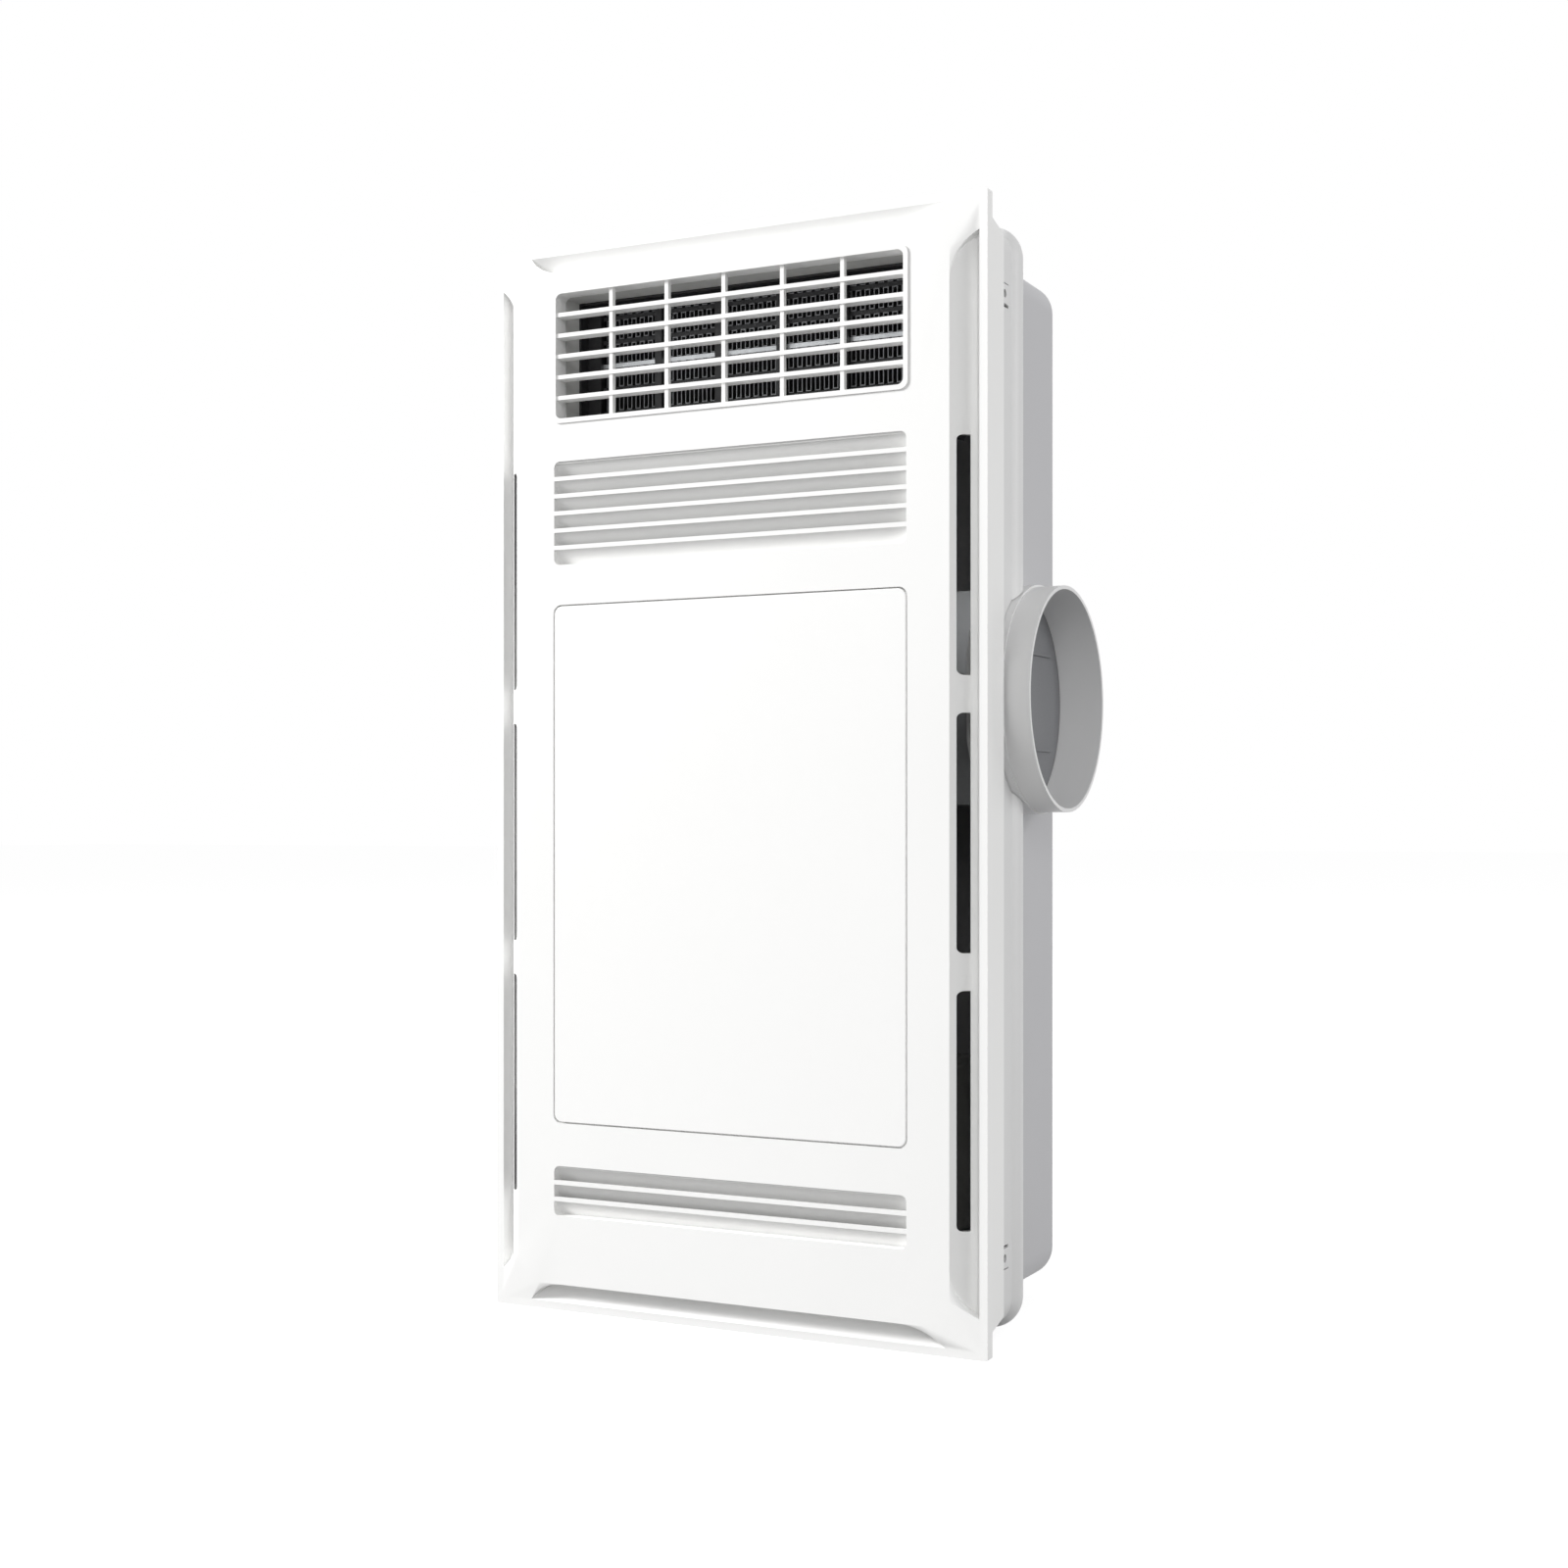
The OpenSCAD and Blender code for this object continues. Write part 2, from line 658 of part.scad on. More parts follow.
module chassis_tray() {
  rib_y = tray_d - rib_w;
  rib_round = (rib_w * rib_w / 4 + rib_t * rib_t) / (2 * rib_t);
  color("gainsboro") difference() {
    union() {
      slab(2 * tray_x, 2 * tray_z, tray_r, tray_front, tray_d);
      band(2 * tray_x, 2 * tray_z, tray_r) intersection() {
        translate([tray_r - cut, rib_y]) square([rib_t + cut, rib_w]);
        translate([tray_r + rib_t - rib_round, rib_y + rib_w / 2]) circle(rib_round);
      }
      fixing_places() translate([-1, -6.5, -pad_half]) cube([2, 13, 2 * pad_half]);
    }
    slab(2 * (tray_x - tray_t), 2 * (tray_z - tray_t), tray_r - tray_t,
      tray_front - cut, tray_d - tray_t);
    slab(2 * (house_x + fit_gap / 2), 2 * (house_z + fit_gap / 2), house_r,
      tray_front, tray_d + cut);
    bar_x(collar_y, collar_z, base_r + fit_gap, house_x, tray_x + rib_t + cut);
    fixing_places() rotate([0, 90, 0]) translate([0, 0, -6]) cylinder(r = fix_r, h = 12);
    // A slit above and below each pad.
    fixing_places() for (s = [0, 1]) mirror([0, 0, s])
      translate([-3, -8, pad_half]) cube([6, 16, 1.2]);
  }
}

module flange_screw_places() {
  for (sx = [-1, 1], z = [66 - house_z, 156 - house_z, house_z - 126, house_z - 46])
    translate([sx * (house_x + 5), 0, z]) children();
}

module rear_housing() {
  flange_y = tray_d - tray_t - house_t;
  color("silver") difference() {
    union() {
      tub(2 * house_x, 2 * house_z, house_r, house_edge, flange_y, back_y);
      slab(2 * (house_x + 8.5), 2 * (house_z + 5), house_r + 3, flange_y, flange_y + house_t);
    }
    tub(2 * (house_x - house_t), 2 * (house_z - house_t), house_r - house_t,
      house_edge - house_t, flange_y - cut, back_y - house_t);
    bar_x(collar_y, collar_z, base_r + fit_gap, house_x - 10, house_x + 12);
    flange_screw_places() bar_y(0, 0, screw_r + 0.2, flange_y - cut, flange_y + house_t + cut);
    collar_screw_places() bar_x(0, 0, screw_r + 0.1, house_x - 4, house_x + cut);
    translate([gland_x, gland_y, -house_z - cut]) linear_extrude(5 + cut) rrect(gland_hole, gland_hole, 3);
  }
}

module screw(len) {
  bar_y(0, 0, screw_r, 0, len);
  difference() {
    bar_y(0, 0, 3.2, -2, 0);
    for (a = [0, 90]) rotate([0, a, 0]) translate([-1.8, -2.5, -0.4]) cube([3.6, 1.4, 0.8]);
  }
}

module housing_screws() {
  flange_y = tray_d - tray_t - house_t;
  color("silver") flange_screw_places() translate([0, flange_y, 0]) screw(house_t);
}

// Keeps only what lies inside the housing or the tray beside the collar.
module collar_plate() {
  x1 = house_x - house_t;
  intersection() {
    bar_x(collar_y, collar_z, base_r + 7, x1 - 2, x1);
    translate([x1 - 3, collar_y - collar_r - 4, collar_z - 2 * collar_r])
      cube([4, back_y - house_edge - collar_y + collar_r + 4, 4 * collar_r]);
  }
}

module collar_screw_places() {
  for (a = [35, 100], s = [-1, 1])
    translate([0, collar_y + (base_r + 3.6) * cos(a), collar_z + s * (base_r + 3.6) * sin(a)])
      children();
}

module duct_collar() {
  plate_x = house_x - house_t - 2;
  seat_x = leaf_x - leaf_t / 2 - seat_gap;
  color("gainsboro") difference() {
    union() {
      collar_plate();
      bar_x(collar_y, collar_z, base_r, plate_x, shoulder_x);
      bar_x(collar_y, collar_z, collar_r, plate_x, collar_x);
    }
    bar_x(collar_y, collar_z, seat_r, plate_x - cut, collar_x + cut);
    bar_x(collar_y, collar_z, bore_r, plate_x - cut, seat_x - 2);
    bar_x(collar_y, collar_z, bore_r, seat_x, collar_x + cut);
    bar_z(leaf_x, collar_y, pin_r + 0.03, collar_z - collar_r - cut, collar_z + collar_r + cut);
    collar_screw_places() bar_x(0, 0, screw_r + 0.1, plate_x - cut, house_x);
  }
}

module collar_screws() {
  plate_x = house_x - house_t - 2;
  color("silver") collar_screw_places() {
    bar_x(0, 0, screw_r, plate_x, house_x - 0.2);
    bar_x(0, 0, 2.8, plate_x - 1.8, plate_x);
  }
}

module damper_pin() {
  reach = sqrt(collar_r * collar_r - 4) - 0.3;
  color("silver") bar_z(leaf_x, collar_y, pin_r, collar_z - reach, collar_z + reach);
}

// Half disc with its own knuckles. The front leaf has three knuckles and the rear leaf two.
module damper_leaf(side, own) {
  span = 2 * (seat_r - 3);
  pitch = span / 5;
  straight = barrel_r + 0.4;
  difference() {
    union() {
      intersection() {
        bar_x(collar_y, collar_z, leaf_r, leaf_x - leaf_t / 2, leaf_x + leaf_t / 2);
        union() {
          translate([leaf_x - 5, side > 0 ? collar_y + straight : collar_y - straight - 2 * leaf_r,
            collar_z - 2 * leaf_r]) cube([10, 2 * leaf_r, 4 * leaf_r]);
          for (i = own) translate([leaf_x - 5, side > 0 ? collar_y : collar_y - straight - 1,
            collar_z - span / 2 + i * pitch + 0.2]) cube([10, straight + 1, pitch - 0.4]);
        }
      }
      for (i = own) bar_z(leaf_x, collar_y, barrel_r,
        collar_z - span / 2 + i * pitch + 0.2, collar_z - span / 2 + (i + 1) * pitch - 0.2);
      for (z = [-0.45, 0.45]) translate([leaf_x + leaf_t / 2 - 0.2,
        side > 0 ? collar_y + straight + 2 : collar_y - straight - 2 - 0.6 * leaf_r,
        collar_z + z * leaf_r - 0.75]) cube([1.4, 0.6 * leaf_r, 1.5]);
    }
    bar_z(leaf_x, collar_y, pin_r + run_gap, collar_z - 2 * leaf_r, collar_z + 2 * leaf_r);
  }
}

module damper_leaf_front() {
  color("dimgray") damper_leaf(-1, [0, 2, 4]);
}

module damper_leaf_rear() {
  color("dimgray") damper_leaf(1, [1, 3]);
}

// Heating section behind the grille.

module flange_places() {
  for (sx = [-1, 1], sz = [-1, 1])
    translate([sx * (outlet_w / 2 + 4.2), 0, outlet_z + sz * (outlet_h / 2 - 8)]) children();
}

// Height of the middle of a heating strip, counted from the lowest.
function ptc_z(i) = outlet_z + (i - (ptc_n - 1) / 2) * ptc_pitch;

module heater_duct() {
  window = (ptc_n - 1) * ptc_pitch + 6;
  color("lightgray") difference() {
    union() {
      slab(outlet_w + 2 * duct_t, outlet_h + 2 * duct_t, 2, duct_front, duct_back, outlet_z);
      slab(flange_w, flange_h, 3, duct_back - duct_t, duct_back, outlet_z);
    }
    slab(outlet_w, outlet_h, 0.5, duct_front - cut, duct_back + cut, outlet_z);
    translate([-outlet_w / 2 - 5, heater_y + 4, outlet_z - window / 2]) cube([6, 8, window]);
    flange_places() bar_y(0, 0, screw_r - 0.2, duct_back - duct_t - cut, duct_back + cut);
  }
}

// A deep ring in the duct, a front with uprights, and slotted caps that hold the strips' ends.
module heater_frame() {
  w = outlet_w - fit_gap;
  h = outlet_h - fit_gap;
  ring = 1.2;
  front = heater_y - 0.05;
  upright_w = 4.4;
  color("black") {
    difference() {
      slab(w, h, 0.6, heater_y - frame_lead, heater_y - 1, outlet_z);
      slab(w - 2 * ring, h - 2 * ring, 0.6, heater_y - frame_lead - cut, heater_y, outlet_z);
    }
    difference() {
      slab(w, h, 0.6, heater_y - 2, front, outlet_z);
      slab(w - 2 * cap_w, core_h, 0.6, heater_y - 3, heater_y + 1, outlet_z);
    }
    for (i = [1:bar_cols - 1])
      translate([-core_w / 2 + i * core_w / bar_cols - upright_w / 2, heater_y - 3.5, outlet_z - h / 2 + 1])
        cube([upright_w, front - heater_y + 3.5, h - 2]);
    for (s = [-1, 1]) difference() {
      translate([s * (w / 2 - cap_w / 2) - cap_w / 2, heater_y - 1, outlet_z - h / 2])
        cube([cap_w, heater_d + 1, h]);
      for (i = [0:ptc_n - 1]) translate([s * (w / 2 - cap_w / 2) - cap_w, heater_y + 5,
        ptc_z(i) - ptc_h / 2 + 0.4]) cube([2 * cap_w, 6, ptc_h - 0.8]);
    }
  }
}

module heating_strip(i) {
  translate([-core_w / 2, heater_y + 0.5, ptc_z(i) - ptc_h / 2]) cube([core_w, heater_d - 1, ptc_h]);
}

module heater_strips() {
  color("dimgray") for (i = [0:ptc_n - 1]) if (i != (ptc_n - 1) / 2) heating_strip(i);
}

module heater_bright_strip() {
  color("silver") heating_strip((ptc_n - 1) / 2);
}

// Outline of a sheet folded into square waves, n folds long.
function wave(n, q, h, t) = concat(
  [for (j = [0:n - 1]) each [[2 * j * q, j == 0 ? 0 : t], [2 * j * q, h],
    [(2 * j + 1) * q + t, h], [(2 * j + 1) * q + t, j == n - 1 ? 0 : t]]],
  [for (j = [n - 1:-1:0]) each [[(2 * j + 1) * q, 0], [(2 * j + 1) * q, h - t],
    [2 * j * q + t, h - t], [2 * j * q + t, 0]]]
);

module heater_fins() {
  n = floor((core_w - fin_pitch / 2 - fin_t) / fin_pitch);
  run = (2 * n - 1) * fin_pitch / 2 + fin_t;
  gap = 0.1;
  color("dimgray") for (i = [0:ptc_n]) {
    low = i == 0 ? outlet_z - core_h / 2 : ptc_z(i - 1) + ptc_h / 2;
    high = i == ptc_n ? outlet_z + core_h / 2 : ptc_z(i) - ptc_h / 2;
    stand() translate([-run / 2, low + gap, heater_y]) linear_extrude(heater_d)
      polygon(wave(n, fin_pitch / 2, high - low - 2 * gap, fin_t));
  }
}

module heater_terminals() {
  color("goldenrod") for (i = [0:ptc_n - 1])
    translate([-outlet_w / 2 - 12, heater_y + 5.4, ptc_z(i) - 0.4]) cube([11 + cap_w, 5.2, 0.8]);
}

module thermal_cutout() {
  top = outlet_z + outlet_h / 2 + duct_t;
  color("tan") {
    bar_z(56, cutout_y, 7, top, top + 4);
    bar_z(56, cutout_y, 5, top + 4, top + 8);
    for (s = [-1, 1]) translate([56 + s * 3 - 1.5, cutout_y - 0.4, top + 7]) cube([3, 0.8, 8]);
  }
}

// Cross-flow fan: casing, wheel, motor and bearing.

function casing_curve(extra) = [for (a = [-50:7:90])
  let (r = warm_gap_r + (warm_top - warm_z - warm_gap_r) * (a + 50) / 140 + extra)
  [warm_y + r * cos(a), warm_z + r * sin(a)]];

module casing_side() {
  polygon(concat(casing_curve(casing_t), [
    [duct_back, warm_top + casing_t], [duct_back, outlet_z - outlet_h / 2 - casing_t],
    [warm_y - warm_gap_r * 0.7, warm_z - warm_gap_r - 2],
    [warm_y + warm_gap_r * 0.4, warm_z - warm_gap_r - 2]
  ]));
}

module fan_casing() {
  low = outlet_z - outlet_h / 2;
  tip_a = 223;
  tip_b = 236;
  inner = casing_curve(0);
  outer = casing_curve(casing_t);
  color("lightgray") difference() {
    union() {
      along_x(casing_x0, casing_x1) {
        polygon(concat(inner, [[duct_back, warm_top], [duct_back, warm_top + casing_t]],
          [for (i = [len(outer) - 1:-1:0]) outer[i]]));
        polygon([[duct_back, low], [warm_y + warm_gap_r * cos(tip_a) - 2, low],
          [warm_y + warm_gap_r * cos(tip_a), warm_z + warm_gap_r * sin(tip_a)],
          [warm_y + warm_gap_r * cos(tip_b), warm_z + warm_gap_r * sin(tip_b)],
          [warm_y + warm_gap_r * cos(tip_b) - 1, warm_z + warm_gap_r * sin(tip_b) - casing_t],
          [duct_back, low - casing_t]]);
      }
      along_x(casing_x0, casing_x0 + casing_t) casing_side();
      along_x(casing_x1 - casing_t, casing_x1) casing_side();
      slab(flange_w, flange_h, 3, duct_back, duct_back + casing_t, outlet_z);
      for (s = [-1, 1]) along_x(s * 58 - 7, s * 58 + 7)
        polygon([[warm_y + warm_r, warm_z - 6], [back_y - house_t - 2, warm_z - 12],
          [back_y - house_t - 2, warm_z - 22], [back_y - house_t, warm_z - 22],
          [back_y - house_t, warm_z + 22], [back_y - house_t - 2, warm_z + 22],
          [back_y - house_t - 2, warm_z + 12], [warm_y + warm_r, warm_z + 10]]);
    }
    stand() translate([(casing_x0 + casing_x1) / 2, outlet_z, duct_back - cut])
      linear_extrude(casing_t + 2 * cut)
        square([casing_x1 - casing_x0 - 2 * casing_t, outlet_h], center = true);
    bar_x(warm_y, warm_z, warm_gap_r, casing_x0 + casing_t, casing_x1 - casing_t);
    bar_x(warm_y, warm_z, bush_r + 1, casing_x0 - cut, casing_x0 + casing_t + cut);
    bar_x(warm_y, warm_z, bush_r + 0.05, casing_x1 - casing_t - cut, casing_x1 + cut);
    flange_places() bar_y(0, 0, screw_r - 0.2, duct_back - cut, duct_back + casing_t + cut);
  }
}

module casing_screws() {
  color("silver") flange_places() {
    bar_y(0, 0, screw_r - 0.25, duct_back - duct_t, duct_back + casing_t);
    bar_y(0, 0, 2.2, duct_back - duct_t - 1.6, duct_back - duct_t);
  }
}

module warm_motor() {
  x1 = casing_x0;
  x0 = x1 - warm_motor_len;
  color("silver") difference() {
    union() {
      bar_x(warm_y, warm_z, warm_motor_r, x0 + 2, x1 - 2);
      bar_x(warm_y, warm_z, warm_motor_r - 3, x0, x1);
      bar_x(warm_y, warm_z, bush_r - 1, x1, x1 + casing_t - 0.2);
      for (s = [-1, 1]) translate([x1 - 2, warm_y - 5, warm_z + s * warm_motor_r - 5])
        cube([2, 10, 10]);
    }
    bar_x(warm_y, warm_z, shaft_r + run_gap, x0 + 6, x1 + casing_t + cut);
  }
}

module warm_bearing() {
  color("dimgray") difference() {
    union() {
      bar_x(warm_y, warm_z, bush_r, casing_x1 - casing_t, casing_x1 + 1);
      bar_x(warm_y, warm_z, bush_r + 2, casing_x1, casing_x1 + 4);
    }
    bar_x(warm_y, warm_z, shaft_r + run_gap, casing_x1 - casing_t - cut, casing_x1 + 5);
  }
}

// Blade between two radii, bowed forward by an angle and seen along the shaft.
function blade(r0, r1, sweep, t) = let (n = 5) concat(
  [for (i = [0:n]) let (r = r0 + (r1 - r0) * i / n, a = sweep * pow(i / n, 1.6)) [r * cos(a), r * sin(a)]],
  [for (i = [n:-1:0]) let (r = r0 + (r1 - r0) * i / n, a = sweep * pow(i / n, 1.6) + t / r * 57.3)
    [r * cos(a), r * sin(a)]]
);

module warm_wheel() {
  discs = 4;
  disc_t = 1.4;
  color("white") difference() {
    union() {
      for (i = [0:discs - 1]) translate([warm_x0 + i * (warm_len - disc_t) / (discs - 1), 0, 0])
        if (i == 0 || i == discs - 1) bar_x(warm_y, warm_z, warm_r, 0, disc_t);
        else difference() {
          bar_x(warm_y, warm_z, warm_r, 0, disc_t);
          bar_x(warm_y, warm_z, warm_r - 8, -cut, disc_t + cut);
        }
      translate([0, warm_y, warm_z]) along_x(warm_x0 + 0.2, warm_x1 - 0.2)
        for (i = [0:warm_blades - 1]) rotate(i * 360 / warm_blades)
          polygon(blade(warm_r - 7.4, warm_r - 0.3, 16, 0.9));
      bar_x(warm_y, warm_z, shaft_r + 4, warm_x0, warm_x0 + 12);
      bar_x(warm_y, warm_z, shaft_r + 4, warm_x1 - 12, warm_x1);
    }
    bar_x(warm_y, warm_z, shaft_r, warm_x0 - cut, warm_x0 + 10);
    bar_x(warm_y, warm_z, shaft_r, warm_x1 - 10, warm_x1 + cut);
  }
}

module warm_shaft() {
  color("silver") {
    bar_x(warm_y, warm_z, shaft_r, casing_x0 - warm_motor_len + 8, warm_x0 + 10);
    bar_x(warm_y, warm_z, shaft_r, warm_x1 - 10, casing_x1 + 6);
  }
}

// Exhaust blower: scroll, cover, wheel and motor.

function scroll_curve(extra) = [for (a = [0:9:270])
  let (r = scroll_rmin + (scroll_rmax - scroll_rmin) * a / 270 + extra)
  [scroll_x + r * cos(-a), scroll_z + r * sin(-a)]];

module scroll_shape(extra, reach) {
  top = collar_z + mouth_h / 2 + extra;
  low = collar_z - mouth_h / 2 - extra;
  polygon(concat(scroll_curve(extra), [[scroll_end + reach, top], [scroll_end + reach, low],
    [scroll_x + scroll_rmin + 14, low], [scroll_x + scroll_rmin + extra + 1, low - 1.5]]));
}

module post_places() {
  for (sx = [-1, 1], sz = [-1, 1])
    translate([scroll_x + sx * 0.9 * wheel_r, 0, scroll_z + sz * 0.9 * wheel_r]) children();
}

module motor_screw_places() {
  for (a = [90, 210, 330])
    translate([scroll_x + (blower_motor_r - 8) * cos(a), 0, scroll_z + (blower_motor_r - 8) * sin(a)])
      children();
}

module blower_scroll() {
  color("lightgray") difference() {
    union() {
      stand() translate([0, 0, scroll_y0]) linear_extrude(scroll_y1 - scroll_y0)
        scroll_shape(scroll_t, 0);
      post_places() bar_y(0, 0, post_r, scroll_y1 - 1, back_y - house_t);
    }
    stand() translate([0, 0, scroll_y0 - cut]) linear_extrude(scroll_back - scroll_y0 + cut)
      scroll_shape(0, cut);
    bar_y(scroll_x, scroll_z, 12, scroll_back - cut, scroll_y1 + cut);
    motor_screw_places() bar_y(0, 0, screw_r + 0.1, scroll_back - cut, scroll_y1 + cut);
  }
}

module blower_cover() {
  inlet_r = wheel_r - 12;
  lip = 6;
  color("lightgray") difference() {
    union() {
      stand() translate([0, 0, scroll_y0 - scroll_t]) linear_extrude(scroll_t)
        scroll_shape(scroll_t, 0);
      stand() translate([scroll_x, scroll_z, scroll_y0 - scroll_t - 3])
        cylinder(r = inlet_r + lip, h = 3.5);
    }
    stand() translate([scroll_x, scroll_z, 0]) rotate_extrude() difference() {
      translate([0, scroll_y0 - scroll_t - 4]) square([inlet_r + lip, 10 + scroll_t]);
      translate([inlet_r + lip, scroll_y0 - scroll_t - 3 + lip]) circle(lip);
      translate([inlet_r, scroll_y0 - scroll_t - 3 + lip]) square([lip, 10]);
    }
  }
}

module blower_wheel() {
  ring = 10.5;
  color("white") difference() {
    union() {
      bar_y(scroll_x, scroll_z, wheel_r, wheel_y1 - 1.6, wheel_y1);
      difference() {
        bar_y(scroll_x, scroll_z, wheel_r, wheel_y0, wheel_y0 + 1.6);
        bar_y(scroll_x, scroll_z, wheel_r - ring, wheel_y0 - cut, wheel_y0 + 2);
      }
      stand() translate([scroll_x, scroll_z, wheel_y0 + 0.3]) linear_extrude(wheel_len - 0.6)
        for (i = [0:wheel_blades - 1]) rotate(i * 360 / wheel_blades)
          polygon(blade(wheel_r - ring + 0.4, wheel_r - 0.3, -11, 1.1));
      bar_y(scroll_x, scroll_z, axle_r + 6, wheel_y1 - 16, wheel_y1);
      for (a = [0:60:300]) stand() translate([scroll_x, scroll_z, wheel_y1 - 8]) rotate(a)
        translate([axle_r + 4, -0.8, 0]) cube([wheel_r - ring - axle_r - 4, 1.6, 8]);
    }
    bar_y(scroll_x, scroll_z, axle_r, wheel_y1 - 16 - cut, wheel_y1 + cut);
  }
}

module blower_shaft() {
  color("silver") bar_y(scroll_x, scroll_z, axle_r, wheel_y1 - 22, scroll_y1 + 18);
}

module blower_nut() {
  color("goldenrod") stand() translate([scroll_x, scroll_z, wheel_y1 - 20]) difference() {
    cylinder(r = axle_r + 4, h = 4, $fn = 6);
    translate([0, 0, -cut]) cylinder(r = axle_r, h = 4 + 2 * cut);
  }
}

module blower_motor() {
  y1 = back_y - house_t - 2;
  color("silver") difference() {
    union() {
      bar_y(scroll_x, scroll_z, blower_motor_r, scroll_y1 + 3, y1 - 3);
      bar_y(scroll_x, scroll_z, blower_motor_r - 3, scroll_y1, y1);
      bar_y(scroll_x, scroll_z, 11.8, scroll_back, y1);
    }
    bar_y(scroll_x, scroll_z, axle_r + run_gap, scroll_back - cut, scroll_y1 + 20);
    motor_screw_places() bar_y(0, 0, screw_r + 0.05, scroll_y1 - cut, scroll_y1 + 6);
  }
}

module motor_screws() {
  color("silver") motor_screw_places() {
    bar_y(0, 0, screw_r, scroll_back, scroll_y1 + 5.5);
    bar_y(0, 0, 3, scroll_back - 1.8, scroll_back);
  }
}

// Control box on the rear wall.

module lid_screw_places() {
  for (sx = [-1, 1], sz = [-1, 1])
    translate([sx * (box_w / 2 - 6), 0, box_z + sz * (box_h / 2 - 6)]) children();
}

module control_box() {
  color("gainsboro") difference() {
    union() {
      difference() {
        slab(box_w, box_h, 4, box_y0, box_y1, box_z);
        slab(box_w - 2 * box_t, box_h - 2 * box_t, 2, box_y0 - cut, box_y1 - box_t, box_z);
      }
      lid_screw_places() bar_y(0, 0, lid_post_r, box_y0, box_y1);
      for (sx = [-1, 1], sz = [-1, 1])
        bar_y(sx * (box_w / 2 - 22), box_z + sz * (box_h / 2 - 18), 3, board_y + 1.6, box_y1);
    }
    lid_screw_places() bar_y(0, 0, screw_r, box_y0 - cut, box_y0 + 12);
    bar_z(gland_x, gland_y, 6, box_z - box_h / 2 - cut, box_z - box_h / 2 + box_t + cut);
  }
}

module control_lid() {
  color("gainsboro") difference() {
    union() {
      slab(box_w, box_h, 4, box_y0 - 2, box_y0, box_z);
      slab(box_w - 2 * box_t - 1, box_h - 24 - 2 * box_t, 1.5, box_y0 - 1, box_y0 + 2, box_z);
    }
    lid_screw_places() bar_y(0, 0, screw_r + 0.2, box_y0 - 3, box_y0 + cut);
    slab(box_w - 4 * box_t, box_h - 24 - 4 * box_t, 1.5, box_y0, box_y0 + 3, box_z);
  }
}

module control_board() {
  color("darkgreen") slab(box_w - 24, box_h - 22, 1.5, board_y, board_y + 1.6, box_z);
}

module relays() {
  color("royalblue") for (i = [0:3])
    translate([-box_w / 2 + 20 + i * 21, board_y - 15.4, box_z + 4]) cube([15.4, 15.4, 19]);
}

module capacitor() {
  color("gray") bar_y(box_w / 2 - 34, box_z + 14, 11, board_y - 26, board_y);
}

module terminal_block() {
  pole = 8;
  color("whitesmoke") difference() {
    translate([-36, board_y - 14, box_z - box_h / 2 + 16]) cube([9 * pole, 14, 13]);
    for (i = [0:8]) bar_y(-36 + (i + 0.5) * pole, box_z - box_h / 2 + 23, 1.6, board_y - 15, board_y - 8);
  }
}

module cable_gland() {
  color("dimgray") difference() {
    union() {
      bar_z(gland_x, gland_y, gland_r, -house_z - 3, -house_z + house_t + 7);
      translate([gland_x, gland_y, -house_z - 4]) cylinder(r = gland_r + 4, h = 4, $fn = 6);
      bar_z(gland_x, gland_y, gland_r + 1.5, -house_z - 9, -house_z - 3);
    }
    bar_z(gland_x, gland_y, 4.5, -house_z - 10, -house_z + house_t + 8);
  }
}

module gland_nut() {
  color("dimgray") difference() {
    translate([gland_x, gland_y, -house_z + house_t]) cylinder(r = gland_r + 3.5, h = 4, $fn = 6);
    bar_z(gland_x, gland_y, gland_r + 0.02, -house_z - 1, -house_z + house_t + 5);
  }
}

front_panel();
outlet_grille();
light_diffuser();
light_pan();
light_strips();
light_chips();
light_driver();
pan_screws();
panel_clips();
chassis_tray();
rear_housing();
housing_screws();
duct_collar();
collar_screws();
damper_pin();
damper_leaf_front();
damper_leaf_rear();
heater_duct();
heater_frame();
heater_strips();
heater_bright_strip();
heater_fins();
heater_terminals();
thermal_cutout();
fan_casing();
casing_screws();
warm_motor();
warm_bearing();
warm_wheel();
warm_shaft();
blower_scroll();
blower_cover();
blower_motor();
motor_screws();
blower_wheel();
blower_shaft();
blower_nut();
control_box();
control_lid();
control_board();
relays();
capacitor();
terminal_block();
cable_gland();
gland_nut();
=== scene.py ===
import json
from math import radians

